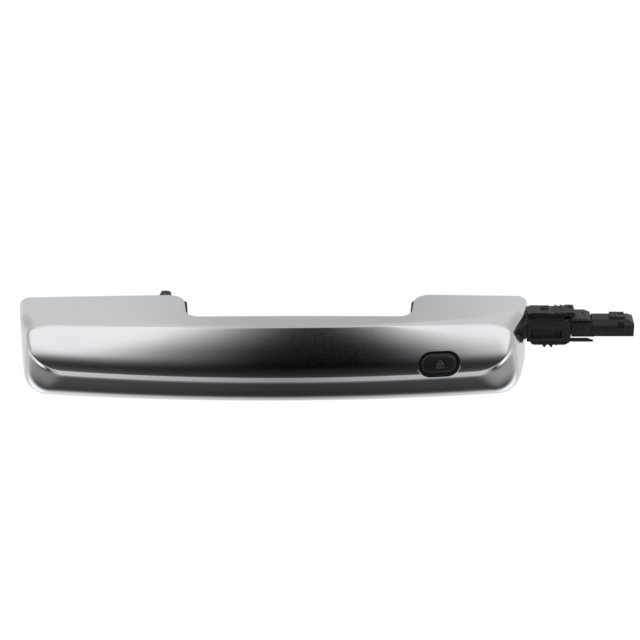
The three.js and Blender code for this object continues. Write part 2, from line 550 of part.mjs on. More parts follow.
// ---- leads from the board through the hook to the terminals ----
const LEAD_STEPS = 18;
const circle = new THREE.Shape();
circle.absarc(0, 0, LEAD_RADIUS, 0, Math.PI * 2);
TERMINALS.forEach(([y, z], i) => {
  const path = new THREE.CatmullRomCurve3([
    new THREE.Vector3(10 - y, -15.5, z),
    new THREE.Vector3(10.2 - y, -8, z),
    new THREE.Vector3(12.6 - 0.6 * y, -2 + 0.8 * y, z),
    new THREE.Vector3(19, y, z),
    new THREE.Vector3(34, y, z),
    new THREE.Vector3(50.9, y, z),
  ]);
  const tube = new THREE.ExtrudeGeometry(circle, {
    steps: LEAD_STEPS, curveSegments: 4, extrudePath: path, bevelEnabled: false });
  add(`lead_${i + 1}`, solid(tube), finish(LEAD_COLOURS[i], 0.5, 0));
});

export default handle;
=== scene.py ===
"""Looks of the car door handle: satin-chrome shell, lock button, latch, connector and inner pieces.

Lengths are in millimetres times MM, in the part's own frame: +X runs along the handle to its pivot
end, +Y points into the door, and +Z is up.
"""

import math

import bmesh
import bpy
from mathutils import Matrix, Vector


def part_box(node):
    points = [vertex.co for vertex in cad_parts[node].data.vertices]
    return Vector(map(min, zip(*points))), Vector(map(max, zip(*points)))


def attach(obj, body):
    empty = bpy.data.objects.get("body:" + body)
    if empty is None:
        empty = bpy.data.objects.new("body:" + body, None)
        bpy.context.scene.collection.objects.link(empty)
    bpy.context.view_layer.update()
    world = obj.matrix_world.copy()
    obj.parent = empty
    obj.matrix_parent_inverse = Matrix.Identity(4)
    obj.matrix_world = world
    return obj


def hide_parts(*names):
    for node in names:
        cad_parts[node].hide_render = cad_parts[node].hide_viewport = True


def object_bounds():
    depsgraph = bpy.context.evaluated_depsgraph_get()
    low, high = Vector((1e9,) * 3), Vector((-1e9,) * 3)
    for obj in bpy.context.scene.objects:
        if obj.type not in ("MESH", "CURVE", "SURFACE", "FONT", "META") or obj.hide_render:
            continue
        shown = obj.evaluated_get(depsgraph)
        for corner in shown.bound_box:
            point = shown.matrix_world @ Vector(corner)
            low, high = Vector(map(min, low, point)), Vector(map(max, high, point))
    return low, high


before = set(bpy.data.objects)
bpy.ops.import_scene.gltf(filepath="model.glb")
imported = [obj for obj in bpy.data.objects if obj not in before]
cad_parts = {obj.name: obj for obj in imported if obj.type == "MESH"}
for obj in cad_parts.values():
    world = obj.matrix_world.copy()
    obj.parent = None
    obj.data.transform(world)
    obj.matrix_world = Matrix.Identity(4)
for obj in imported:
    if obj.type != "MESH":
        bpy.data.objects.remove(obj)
cad_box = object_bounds()
MM = 0.001


def node_box(name):
    """A CAD node's lowest and highest corner, in millimetres."""
    low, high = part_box(name)
    return Vector(low) / MM, Vector(high) / MM


# ---- camera at the photograph's viewing angle ----
VIEW_ELEVATION = 27.0
VIEW_AZIMUTH = 0.0
VIEW_DISTANCE = 1.0
VIEW_LENS = 126.0
AIM = Vector((-68.5, -15.0, 10.6)) * MM


def add_camera():
    elevation = math.radians(VIEW_ELEVATION)
    azimuth = math.radians(VIEW_AZIMUTH)
    back = Vector((
        math.sin(azimuth) * math.cos(elevation),
        -math.cos(azimuth) * math.cos(elevation),
        math.sin(elevation),
    ))
    data = bpy.data.cameras.new("camera")
    data.lens = VIEW_LENS
    data.sensor_width = 36.0
    data.clip_start = 0.05
    data.clip_end = 50.0
    camera = bpy.data.objects.new("camera", data)
    camera.location = AIM + back * VIEW_DISTANCE
    camera.rotation_mode = "QUATERNION"
    camera.rotation_quaternion = (-back).to_track_quat("-Z", "Y")
    bpy.context.scene.collection.objects.link(camera)
    bpy.context.scene.camera = camera


# ---- node helpers ----
class Nodes:
    """A material's or world's node tree, with short calls that add and link nodes."""

    def __init__(self, tree):
        self.tree = tree

    def add(self, kind, inputs=None, **settings):
        node = self.tree.nodes.new(kind)
        for key, value in settings.items():
            setattr(node, key, value)
        for key, value in (inputs or {}).items():
            self.feed(node.inputs[key], value)
        return node

    def feed(self, socket, value):
        if isinstance(value, bpy.types.NodeSocket):
            self.tree.links.new(value, socket)
        else:
            socket.default_value = value

    def math(self, operation, a, b=0.0):
        return self.add("ShaderNodeMath", {0: a, 1: b}, operation=operation).outputs[0]

    def ramp(self, fac, stops):
        """A smooth grey ramp: stops are (place, value) pairs."""
        node = self.add("ShaderNodeValToRGB", {"Fac": fac})
        ramp = node.color_ramp
        ramp.interpolation = "B_SPLINE"
        first, last = ramp.elements[0], ramp.elements[1]
        first.position, last.position = stops[0][0], stops[-1][0]
        first.color = (stops[0][1],) * 3 + (1,)
        last.color = (stops[-1][1],) * 3 + (1,)
        for place, value in stops[1:-1]:
            ramp.elements.new(place).color = (value, value, value, 1)
        return node.outputs["Color"]

    def spread(self, value, low, high, new_low=0.0, new_high=1.0, smooth=False):
        kind = "SMOOTHSTEP" if smooth else "LINEAR"
        node = self.add("ShaderNodeMapRange", {
            "Value": value, "From Min": low, "From Max": high, "To Min": new_low, "To Max": new_high,
        }, interpolation_type=kind)
        return node.outputs["Result"]


# ---- studio: a painted surround and a pale floor ----
# Heights and reaches are in degrees. Widths run from 0 in the middle to 1 straight to the side.
DARK_MIDDLE = 3.6
RIGHT_STEEPNESS = 1.2
DARK_NARROWING = 5.5
DARK_LEAN = 0.9
DARK_SHARPENING = 0.65
UPPER_STOPS = [(0.0, 0.004), (0.15, 0.01), (0.2, 0.03), (0.26, 0.09), (0.34, 0.2), (0.42, 0.42),
               (0.5, 0.66), (0.6, 0.98), (0.72, 1.25), (1.0, 1.4)]
RISE_STOPS = [(0.0, 0.01), (0.15, 0.02), (0.25, 0.15), (0.33, 0.46), (0.42, 0.88), (0.5, 1.04),
              (0.6, 1.1), (0.75, 1.35), (1.0, 1.6)]
LOW_STOPS = [(0.0, 0.76), (0.39, 0.76), (0.48, 0.58), (0.54, 0.018), (0.59, 0.018), (0.64, 0.16),
             (0.7, 0.46), (0.78, 0.46), (0.822, 0.07), (0.87, 0.01), (1.0, 0.01)]
FRONT_LOW = -30.0
FRONT_HIGH = 30.0
FRONT_REACH = 40.0
LIFT_HEIGHTS = (-125.0, -105.0)
LIFT_WIDTH = 0.45
LIFT_MIDDLE = -0.3
LIFT_SIDE = 0.9
LOW_TO_FRONT = (-22.0, -14.0)
FRONT_TO_TOP = (28.0, 60.0)
DIP_WIDTHS = (0.03, 0.11)
FLANK_WIDTHS = (0.55, 0.95)
OVERHEAD = 0.7
OVERHEAD_DIP = 0.72
FLANK = 0.52
STUDIO_RED = 0.985
STUDIO_GREEN = 0.995
FLOOR_SIZE = 6.0
FLOOR_GAP = 0.0004


def add_world():
    """A white studio with one dark area behind the camera, which the satin chrome mirrors."""
    world = bpy.data.worlds.new("studio")
    world.use_nodes = True
    n = Nodes(world.node_tree)
    background = world.node_tree.nodes["Background"]
    direction = n.add("ShaderNodeTexCoord").outputs["Generated"]
    unit = n.add("ShaderNodeVectorMath", {0: direction}, operation="NORMALIZE").outputs[0]
    axes = n.add("ShaderNodeSeparateXYZ", {0: unit})
    x, y, z = axes.outputs[0], axes.outputs[1], axes.outputs[2]
    forward = n.math("MULTIPLY", y, -1.0)
    azimuth = n.math("MULTIPLY", n.math("ARCTAN2", x, forward), 180 / math.pi)
    # Height angle that runs on past straight down and straight up on the door side.
    height = n.math("MULTIPLY", n.math("ARCTAN2", z, forward), 180 / math.pi)
    # side: how far to the left or right of the dark area's middle, in degrees
    up = n.spread(height, 0.0, FRONT_HIGH)
    offset = n.math("SUBTRACT", azimuth, n.spread(up, 0.0, 1.0, DARK_MIDDLE, DARK_MIDDLE - DARK_LEAN))
    side = n.math("MAXIMUM", n.math("MULTIPLY", offset, -1.0),
                  n.math("MULTIPLY", offset, RIGHT_STEEPNESS))
    steeper = n.math("MULTIPLY", side, n.spread(up, 0.0, 1.0, 1.0, 1.0 + DARK_SHARPENING))
    reach = n.math("ADD", steeper, n.math("MULTIPLY", up, DARK_NARROWING))
    upper = n.ramp(n.spread(reach, 0.0, FRONT_REACH), UPPER_STOPS)
    rise = n.ramp(n.spread(height, FRONT_LOW, FRONT_HIGH), RISE_STOPS)
    front = n.math("MULTIPLY", upper, rise)
    # lift: the light below and behind is dimmer in the middle and brighter towards the sides
    width = n.math("ABSOLUTE", x)
    lift = n.math("MULTIPLY", n.spread(height, *LIFT_HEIGHTS),
                  n.spread(width, 0.0, LIFT_WIDTH, LIFT_MIDDLE, LIFT_SIDE))
    low = n.math("MULTIPLY", n.ramp(n.spread(height, -180.0, 0.0), LOW_STOPS), n.math("ADD", 1.0, lift))
    low_share = n.spread(height, *LOW_TO_FRONT, 1.0, 0.0, smooth=True)
    mixed = n.math("ADD", n.math("MULTIPLY", low, low_share),
                   n.math("MULTIPLY", front, n.math("SUBTRACT", 1.0, low_share)))
    # High up, the painted front passes into a plain light that is a little dimmer over the middle.
    over = n.spread(height, *FRONT_TO_TOP, smooth=True)
    dip = n.spread(width, *DIP_WIDTHS, OVERHEAD * OVERHEAD_DIP, OVERHEAD, smooth=True)
    top = n.math("ADD", n.math("MULTIPLY", mixed, n.math("SUBTRACT", 1.0, over)),
                 n.math("MULTIPLY", over, dip))
    flank = n.spread(width, *FLANK_WIDTHS, smooth=True)
    final = n.math("ADD", n.math("MULTIPLY", top, n.math("SUBTRACT", 1.0, flank)),
                   n.math("MULTIPLY", flank, FLANK))
    colour = n.add("ShaderNodeCombineColor", {
        0: n.math("MULTIPLY", final, STUDIO_RED), 1: n.math("MULTIPLY", final, STUDIO_GREEN), 2: final})
    n.feed(background.inputs["Color"], colour.outputs[0])
    bpy.context.scene.world = world
    bpy.context.scene.view_settings.view_transform = "Standard"


def add_floor():
    """A pale floor under the handle. It is plain white to the camera and stays out of the reflections."""
    low, high = cad_box
    middle = (low + high) / 2
    bpy.ops.mesh.primitive_plane_add(size=FLOOR_SIZE, location=(middle.x, middle.y, low.z - FLOOR_GAP))
    floor = bpy.context.object
    floor.name = "studio_floor"
    material = bpy.data.materials.new("pale_floor")
    material.use_nodes = True
    n = Nodes(material.node_tree)
    n.tree.nodes.remove(n.tree.nodes["Principled BSDF"])
    glow = n.add("ShaderNodeEmission", {"Color": (1, 1, 1, 1), "Strength": 1.0})
    n.feed(n.tree.nodes["Material Output"].inputs["Surface"], glow.outputs[0])
    floor.data.materials.append(material)
    floor.visible_glossy = False
    floor.visible_diffuse = False


# ---- the shell's form, lofted from the door plane to the front as the CAD part is ----
WALL = 2.4
SHELL_LEFT = node_box("outer_shell")[0].x
SHELL_RIGHT = node_box("outer_shell")[1].x
MID_X = (SHELL_LEFT + SHELL_RIGHT) / 2
HALF_LENGTH = (SHELL_RIGHT - SHELL_LEFT) / 2
CROWN_X = MID_X + 18.0
BOW_RADIUS = 675.0
CREASE_Y = -37.0
CREASE_Z = -7.0
PILLOW_CURVE = 0.0104
LONG_STEPS = 110
CORNER_STEPS = 18
SIDE_STEPS = 24
RING_STEPS = 7
SOFT_END_START = 45.0
SOFT_END_FULL = 95.0
SOFT_TOP_FULL = 9.0
RELAX_STRENGTH = 0.5
RELAX_ROUNDS = 60
RELAXED_RINGS = 3
BLEND_STRENGTH = 0.8
BLEND_ROUNDS = 80
BLEND_START = 15.0
BLEND_FULL = 24.0

# left, right, top, bottom, top radius, bottom radius, depth low, depth high, bow, drop, sag, softness
RINGS = [
    (0.0, 0.0, 16.0, -22.2, 4.5, 6.0, 0.0, 0.0, 0.0, 1.3, 0.0, 0.0),
    (0.7, 1.1, 16.0, -22.4, 5.5, 7.0, -9.0, -9.0, 0.3, 1.3, 0.4, 0.5),
    (1.6, 2.2, 16.0, -22.8, 6.0, 8.0, -20.0, -20.0, 0.8, 1.3, 0.8, 0.5),
    (2.6, 3.4, 16.0, -23.5, 6.5, 9.0, -27.4, -24.0, 1.0, 1.2, 0.8, 0.5),
    (3.2, 4.2, 16.0, -22.3, 6.5, 10.0, -30.0, -25.8, 1.0, 1.2, 0.8, 0.5),
    (3.8, 5.0, 16.0, -20.2, 6.5, 11.0, -31.9, -27.4, 1.0, 1.1, 0.6, 0.5),
    (4.2, 5.8, 16.0, -17.3, 6.5, 12.5, -33.4, -28.8, 1.0, 1.0, 0.4, 0.5),
    (5.0, 7.0, 15.9, -9.6, 6.5, 17.5, -36.55, -30.8, 1.0, 0.9, 0.0, 0.2),
    (5.6, 8.2, 15.3, -7.0, 5.6, 16.0, None, None, 1.0, 0.9, 0.0, 0.2),
    (6.5, 9.1, 14.4, -6.1, 4.7, 15.1, None, None, 1.0, 0.9, 0.0, 0.0),
]


def bow(x):
    return (x - MID_X) ** 2 / (2 * BOW_RADIUS)


def end_share(x):
    return ((x - CROWN_X) / HALF_LENGTH) ** 2


def pillow_y(x, z):
    return CREASE_Y + PILLOW_CURVE * (z - CREASE_Z) ** 2 + bow(x)


def lerp(a, b, share):
    return a + (b - a) * share


def smooth_step(value, low, high):
    share = min(max((value - low) / (high - low), 0), 1)
    return share * share * (3 - 2 * share)


def end_softness(x, z):
    """How softly the front rolls over into the ends: 1 at the upper corners, 0 along the middle."""
    along = smooth_step(abs(x - MID_X), SOFT_END_START, SOFT_END_FULL)
    return along * smooth_step(z, 0.0, SOFT_TOP_FULL)


def chain_places(left, right, radius):
    """Places along a ring's length: close together round the corners and even in between."""
    places = [left + radius * (1 - math.cos(i / CORNER_STEPS * math.pi / 2)) for i in range(CORNER_STEPS)]
    places += [lerp(left + radius, right - radius, i / LONG_STEPS) for i in range(LONG_STEPS + 1)]
    places += [right - radius * (1 - math.cos(i / CORNER_STEPS * math.pi / 2))
               for i in range(CORNER_STEPS - 1, -1, -1)]
    return places


def corner_rise(x, left, right, radius):
    """How far an edge with rounded corners stands back from its flat part at x."""
    from_end = min(x - left, right - x)
    if from_end >= radius:
        return 0.0
    return radius - math.sqrt(max(radius ** 2 - (radius - from_end) ** 2, 0))


def ring_outline(ring, inset):
    """The ring seen from the front: bottom edge to the right, up the right side, back over the top
    edge to the left, and down the left side."""
    left = SHELL_LEFT + ring[0] + inset
    right = SHELL_RIGHT - ring[1] - inset
    top = ring[2] - inset
    bottom = ring[3] + inset
    r_top = ring[4] - inset
    r_bottom = ring[5] - inset
    places = chain_places(left, right, r_bottom)
    lower = [(x, bottom + corner_rise(x, left, right, r_bottom)) for x in places]
    upper = [(x, top - corner_rise(x, left, right, r_top)) for x in places]
    side = [lerp(bottom + r_bottom, top - r_top, i / SIDE_STEPS) for i in range(1, SIDE_STEPS)]
    return lower + [(right, z) for z in side] + upper[::-1] + [(left, z) for z in side[::-1]]


def ring_points(ring, inset, back_y):
    top, bottom = ring[2:4]
    low_y, high_y, bow_share, drop, sag = ring[6:11]
    points = []
    for x, flat_z in ring_outline(ring, inset):
        share = min(max((flat_z - bottom) / (top - bottom), 0), 1)
        z = flat_z - lerp(sag, drop, share) * end_share(x)
        if low_y is None:
            y = pillow_y(x, z) + inset
        elif bow_share == 0:
            y = back_y
        else:
            y = lerp(low_y, high_y, share) + bow_share * bow(x) + inset
        points.append(Vector((x, y, z)))
    return points


def rounded_loops(loops):
    """Loops between the rings: straight in between, and a small curve at each ring. The crease is
    tight along the bottom and wide at the upper corners."""
    result = [loops[0]]
    for k in range(1, len(loops) - 1):
        before, here, after = loops[k - 1], loops[k], loops[k + 1]
        soft = [lerp(RINGS[k][11], 0.5, end_softness(point.x, point.z)) for point in here]
        for i in range(RING_STEPS + 1):
            t = i / RING_STEPS
            loop = []
            for a, b, c, share in zip(before, here, after, soft):
                start = b.lerp(a, share)
                end = b.lerp(c, share)
                loop.append(start.lerp(b, t).lerp(b.lerp(end, t), t))
            if i > 0 or (result[-1][0] - loop[0]).length > 1e-4:
                result.append(loop)
    result.append(loops[-1])
    return result


def relax_ends(loops, first):
    """Evens out the upper corners from loop to loop, so that no ring shows there as an edge."""
    weights = [RELAX_STRENGTH * end_softness(point.x, point.z) for point in loops[-1]]
    for _ in range(RELAX_ROUNDS):
        for r in range(first, len(loops) - 1):
            for i, weight in enumerate(weights):
                if weight > 0:
                    middle = (loops[r - 1][i] + loops[r + 1][i]) / 2
                    loops[r][i] = loops[r][i].lerp(middle, weight)


def face_grid(loop, inset):
    """Points across the front between a loop's bottom and top edges, and the faces through them."""
    chain = LONG_STEPS + 2 * CORNER_STEPS + 1
    count = len(loop)
    points = []
    rows = []
    for k in range(chain):
        low, high = loop[k], loop[2 * chain + SIDE_STEPS - 2 - k]
        row = [k]
        for j in range(1, SIDE_STEPS):
            if k == 0:
                row.append(count - j)
            elif k == chain - 1:
                row.append(chain - 1 + j)
            else:
                x = lerp(low.x, high.x, j / SIDE_STEPS)
                z = lerp(low.z, high.z, j / SIDE_STEPS)
                row.append(count + len(points))
                points.append(Vector((x, pillow_y(x, z) + inset, z)))
        row.append(2 * chain + SIDE_STEPS - 2 - k)
        rows.append(row)
    faces = []
    for here, after in zip(rows, rows[1:]):
        for j in range(SIDE_STEPS):
            faces.append((here[j], after[j], after[j + 1], here[j + 1]))
    return points, faces


def mesh_object(name, vertices, faces):
    mesh = bpy.data.meshes.new(name)
    mesh.from_pydata([tuple(Vector(v) * MM) for v in vertices], [], faces)
    mesh.validate()
    body = bpy.data.objects.new(name, mesh)
    bpy.context.scene.collection.objects.link(body)
    return body


def blend_corners(body):
    """Blends the front into the ends at the upper corners, where no edge shows between them."""
    points = [vertex.co / MM for vertex in body.data.vertices]
    near = [[] for _ in points]
    for edge in body.data.edges:
        a, b = edge.vertices
        near[a].append(b)
        near[b].append(a)
    weights = {}
    for i, point in enumerate(points):
        depth_share = smooth_step(-point.y, BLEND_START, BLEND_FULL)
        weight = BLEND_STRENGTH * end_softness(point.x, point.z) * depth_share
        if weight > 0:
            weights[i] = weight
    for _ in range(BLEND_ROUNDS):
        middles = {i: sum((points[k] for k in near[i]), Vector()) / len(near[i]) for i in weights}
        for i, weight in weights.items():
            points[i] = points[i].lerp(middles[i], weight)
    for i in weights:
        body.data.vertices[i].co = points[i] * MM


def handle_form(name, inset, back_y):
    loops = rounded_loops([ring_points(ring, inset, back_y) for ring in RINGS])
    relax_ends(loops, len(loops) - RELAXED_RINGS * (RING_STEPS + 1))
    count = len(loops[0])
    faces = []
    for r in range(len(loops) - 1):
        for i in range(count):
            a = r * count + i
            b = r * count + (i + 1) % count
            faces.append((a, b, b + count, a + count))
    last = (len(loops) - 1) * count
    points, grid = face_grid(loops[-1], inset)
    faces += [tuple(last + i for i in face) for face in grid]
    faces.append(tuple(range(count - 1, -1, -1)))
    body = mesh_object(name, [point for loop in loops for point in loop] + points, faces)
    blend_corners(body)
    return body


# ---- cutters, and how a piece's edges are finished ----
EDGE_ANGLE = 35.0
EDGE_SEGMENTS = 3


def arc(x, z, radius, start, end, steps):
    """Points of an arc, with angles in degrees."""
    points = []
    for i in range(steps + 1):
        angle = math.radians(lerp(start, end, i / steps))
        points.append((x + radius * math.cos(angle), z + radius * math.sin(angle)))
    return points


def prism(name, outline, axis, low, high):
    """An outline of two coordinates, as a solid along the third axis."""
    place = {
        "X": lambda a, b, c: (c, a, b),
        "Y": lambda a, b, c: (a, c, b),
        "Z": lambda a, b, c: (a, b, c),
    }[axis]
    count = len(outline)
    vertices = [place(a, b, low) for a, b in outline] + [place(a, b, high) for a, b in outline]
    faces = [tuple(range(count)), tuple(range(2 * count - 1, count - 1, -1))]
    for i in range(count):
        j = (i + 1) % count
        faces.append((i, i + count, j + count, j))
    body = mesh_object(name, vertices, faces)
    tidy_normals(body)
    return body


def tidy_normals(body):
    bm = bmesh.new()
    bm.from_mesh(body.data)
    bmesh.ops.recalc_face_normals(bm, faces=bm.faces)
    bm.to_mesh(body.data)
    bm.free()


def boolean(body, cutter, operation="DIFFERENCE"):
    """Cuts, joins or intersects body with cutter, and removes the cutter."""
    modifier = body.modifiers.new("boolean", "BOOLEAN")
    modifier.operation = operation
    modifier.solver = "MANIFOLD"
    modifier.object = cutter
    apply_modifiers(body)
    bpy.data.objects.remove(cutter)


def apply_modifiers(body):
    graph = bpy.context.evaluated_depsgraph_get()
    mesh = bpy.data.meshes.new_from_object(body.evaluated_get(graph))
    old = body.data
    body.modifiers.clear()
    body.data = mesh
    bpy.data.meshes.remove(old)


def smooth(body, angle):
    """Smooth shading, with edges sharper than the angle left crisp."""
    for face in body.data.polygons:
        face.use_smooth = True
    body.data.set_sharp_from_angle(angle=math.radians(angle))


def round_edges(body, width):
    modifier = body.modifiers.new("edge_rounding", "BEVEL")
    modifier.width = width * MM
    modifier.segments = EDGE_SEGMENTS
    modifier.limit_method = "ANGLE"
    modifier.angle_limit = math.radians(EDGE_ANGLE)
    modifier.harden_normals = True


# ---- outer shell ----
GAP_LEFT = -128.3
GAP_RIGHT = -27.4
GAP_FLOOR = -21.7
GAP_FILLET = 6.5
GAP_SPLAY = 0.9
GAP_MOUTH = 8.0
GAP_STEPS = 12
BEHIND = 3.0
BUTTON_X = -15.8
BUTTON_Z = -2.6
BUTTON_HALF = (8.1, 5.0)
BUTTON_RADIUS = 4.6
NOTCH_LEFT = 14.5
NOTCH_FRONT = -7.2
NOTCH_HIGH = 9.2
NOTCH_LOW = -4.6


def gap_outline():
    """The finger gap seen from above. Its mouth opens with a radius at each side."""
    mouth_left = GAP_LEFT - GAP_SPLAY - GAP_MOUTH
    mouth_right = GAP_RIGHT + GAP_SPLAY + GAP_MOUTH
    corner_y = GAP_FLOOR + GAP_FILLET
    points = [(mouth_right, BEHIND), (mouth_left, BEHIND)]
    points += arc(mouth_left, -GAP_MOUTH, GAP_MOUTH, 90, 0, GAP_STEPS)
    points += arc(GAP_LEFT + GAP_FILLET, corner_y, GAP_FILLET, 180, 270, GAP_STEPS)
    points += arc(GAP_RIGHT - GAP_FILLET, corner_y, GAP_FILLET, 270, 360, GAP_STEPS)
    points += arc(mouth_right, -GAP_MOUTH, GAP_MOUTH, 180, 90, GAP_STEPS)
    return points


def rounded_rectangle(x, z, half_width, half_height, radius, steps=10):
    points = []
    for side_x, side_z, start in ((1, 1, 0), (-1, 1, 90), (-1, -1, 180), (1, -1, 270)):
        points += arc(x + side_x * (half_width - radius), z + side_z * (half_height - radius),
                      radius, start, start + 90, steps)
    return points


def button_outline(margin, steps=10):
    return rounded_rectangle(BUTTON_X, BUTTON_Z, BUTTON_HALF[0] + margin, BUTTON_HALF[1] + margin,
                             BUTTON_RADIUS + margin, steps)


def notch_outline():
    """The opening in the end wall for the hook, seen along the handle."""
    front, high, low = NOTCH_FRONT, NOTCH_HIGH, NOTCH_LOW
    return [(BEHIND, high), (front / 3, high - 0.4), (front + 2.4, high - 1.9), (front, high - 5.2),
            (front, low + 3), (front + 2, low), (BEHIND, low)]


def box_piece(name, x0, x1, y0, y1, z0, z1):
    return prism(name, [(x0, y0), (x1, y0), (x1, y1), (x0, y1)], "Z", z0, z1)


def make_shell(material):
    shell = handle_form("satin_shell", 0.0, 0.0)
    boolean(shell, handle_form("hollow", WALL, BEHIND))
    boolean(shell, prism("gap_cutter", gap_outline(), "Z", -40, 40))
    boolean(shell, hole_cutter())
    boolean(shell, prism("notch_cutter", notch_outline(), "X", NOTCH_LEFT, SHELL_RIGHT + 5))
    smooth(shell, 32)
    paint(shell, material)
    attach(shell, "handle_body")
    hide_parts("outer_shell")


# ---- materials ----
def paint(body, material):
    body.data.materials.clear()
    body.data.materials.append(material)
    for face in body.data.polygons:
        face.material_index = 0


def surface(name, roughness, metallic=0.0, **constants):
    """A material with its principled shader and node helper."""
    material = bpy.data.materials.new(name)
    material.use_nodes = True
    n = Nodes(material.node_tree)
    shader = material.node_tree.nodes["Principled BSDF"]
    shader.inputs["Roughness"].default_value = roughness
    shader.inputs["Metallic"].default_value = metallic
    for key, value in constants.items():
        shader.inputs[key.replace("_", " ")].default_value = value
    return material, n, shader


def object_noise(n, scale, detail=3.0, roughness=0.6):
    """Noise in the object's own space; scale is in waves per metre."""
    place = n.add("ShaderNodeTexCoord").outputs["Object"]
    noise = n.add("ShaderNodeTexNoise", {
        "Vector": place, "Scale": scale, "Detail": detail, "Roughness": roughness})
    return noise.outputs["Fac"]


def mixed_colour(n, fac, low, high):
    node = n.add("ShaderNodeMix", data_type="RGBA")
    n.feed(node.inputs[0], fac)
    n.feed(node.inputs[6], (*low, 1))
    n.feed(node.inputs[7], (*high, 1))
    return node.outputs[2]


def chrome_material():
    """Satin plating: a fine grain in the roughness and the slightest waviness."""
    material, n, shader = surface("satin_chrome", 0.12, 1.0)
    grain = object_noise(n, 900.0, 4.0, 0.7)
    n.feed(shader.inputs["Roughness"], n.spread(grain, 0.3, 0.7, 0.1, 0.135))
    cloud = object_noise(n, 30.0, 2.0)
    n.feed(shader.inputs["Base Color"],
           mixed_colour(n, n.spread(cloud, 0.35, 0.65), (0.79, 0.80, 0.82), (0.82, 0.83, 0.845)))
    wave = object_noise(n, 2500.0, 2.0)
    bump = n.add("ShaderNodeBump", {"Strength": 0.02, "Distance": 0.00002, "Height": wave})
    n.feed(shader.inputs["Normal"], bump.outputs["Normal"])
    return material


def plastic_material(name, low, high, roughness, grain=2200.0, depth=0.12):
    """Moulded plastic: spark-eroded grain with faint changes of tone and gloss."""
    material, n, shader = surface(name, roughness)
    cloud = object_noise(n, 120.0, 3.0)
    n.feed(shader.inputs["Base Color"], mixed_colour(n, n.spread(cloud, 0.3, 0.7), low, high))
    fine = object_noise(n, grain, 3.0, 0.7)
    n.feed(shader.inputs["Roughness"], n.spread(fine, 0.3, 0.7, roughness - 0.06, roughness + 0.08))
    bump = n.add("ShaderNodeBump", {"Strength": depth, "Distance": 0.00005, "Height": fine})
    n.feed(shader.inputs["Normal"], bump.outputs["Normal"])
    return material


def rubber_material():
    """Soft black rubber with a dull, slightly dusty surface."""
    material, n, shader = surface("rubber", 0.8)
    dust = object_noise(n, 260.0, 5.0, 0.7)
    n.feed(shader.inputs["Base Color"],
           mixed_colour(n, n.spread(dust, 0.35, 0.75), (0.008, 0.008, 0.0085), (0.022, 0.022, 0.021)))
    n.feed(shader.inputs["Roughness"], n.spread(dust, 0.3, 0.7, 0.68, 0.88))
    bump = n.add("ShaderNodeBump", {"Strength": 0.2, "Distance": 0.00006, "Height": dust})
    n.feed(shader.inputs["Normal"], bump.outputs["Normal"])
    return material


def metal_material(name, low, high, roughness, scale=700.0):
    """Bare or plated metal with fine drawing marks and patches of duller tone."""
    material, n, shader = surface(name, roughness, 1.0)
    place = n.add("ShaderNodeTexCoord").outputs["Object"]
    drawn = n.add("ShaderNodeMapping", {"Vector": place, "Scale": (0.15, 1.0, 1.0)}).outputs[0]
    marks = n.add("ShaderNodeTexNoise", {
        "Vector": drawn, "Scale": scale * 3, "Detail": 4.0, "Roughness": 0.7}).outputs["Fac"]
    cloud = object_noise(n, scale * 0.3, 3.0)
    n.feed(shader.inputs["Base Color"], mixed_colour(n, n.spread(cloud, 0.3, 0.7), low, high))
    n.feed(shader.inputs["Roughness"], n.spread(marks, 0.3, 0.7, roughness - 0.08, roughness + 0.1))
    bump = n.add("ShaderNodeBump", {"Strength": 0.1, "Distance": 0.00003, "Height": marks})
    n.feed(shader.inputs["Normal"], bump.outputs["Normal"])
    return material


def wound_material():
    """Enamelled copper wire, wound close together along the handle, with painted shade darkening the grooves
    between the turns.
    """
    material, n, shader = surface("copper_wire", 0.35, 1.0)
    place = n.add("ShaderNodeTexCoord").outputs["Object"]
    turns = n.add("ShaderNodeTexWave", {
        "Vector": place, "Scale": 500.0, "Distortion": 0.3, "Detail": 2.0}, bands_direction="X")
    turns_and_groove_shade = turns.outputs["Fac"]
    # The darker colour between the turns is painted shade in the grooves; the lighter colour is the copper's
    # own.
    n.feed(shader.inputs["Base Color"],
           mixed_colour(n, turns_and_groove_shade, (0.22, 0.07, 0.03), (0.62, 0.27, 0.13)))
    n.feed(shader.inputs["Roughness"], n.spread(turns_and_groove_shade, 0.0, 1.0, 0.5, 0.28))
    bump = n.add("ShaderNodeBump", {"Strength": 0.6, "Distance": 0.0001, "Height": turns_and_groove_shade})
    n.feed(shader.inputs["Normal"], bump.outputs["Normal"])
    return material


def board_material():
    """Green solder mask over copper tracks."""
    material, n, shader = surface("board_green", 0.35)
    place = n.add("ShaderNodeTexCoord").outputs["Object"]
    cells = n.add("ShaderNodeTexBrick", {
        "Vector": n.add("ShaderNodeMapping", {"Vector": place, "Rotation": (math.pi / 2, 0, 0)}).outputs[0],
        "Scale": 420.0, "Mortar Size": 0.03, "Color1": (0.012, 0.10, 0.045, 1),
        "Color2": (0.015, 0.12, 0.05, 1), "Mortar": (0.03, 0.19, 0.08, 1)})
    speck = object_noise(n, 1500.0, 2.0)
    n.feed(shader.inputs["Base Color"], cells.outputs["Color"])
    n.feed(shader.inputs["Roughness"], n.spread(speck, 0.3, 0.7, 0.28, 0.42))
    bump = n.add("ShaderNodeBump", {"Strength": 0.15, "Distance": 0.00004, "Height": cells.outputs["Fac"]})
    n.feed(shader.inputs["Normal"], bump.outputs["Normal"])
    return material


# ---- lock button ----
BUTTON_SINK = 0.35
CAP_PROFILE = [(0.0, 0.95), (-0.22, 0.5), (-0.7, 0.2), (-1.3, 0.06), (-2.1, 0.0)]
FLANGE_MARGIN = 1.5
FLANGE_FRONT = -27.3
FLANGE_BACK = -26.1
STEM_RADIUS = 2
STEM_STEPS = 24
STEM_FRONT = -26.6
STEM_BACK = -22.35
SEAL_BACK = -27.6
ICON_X = BUTTON_X + 0.45
ICON_Z = BUTTON_Z - 0.2


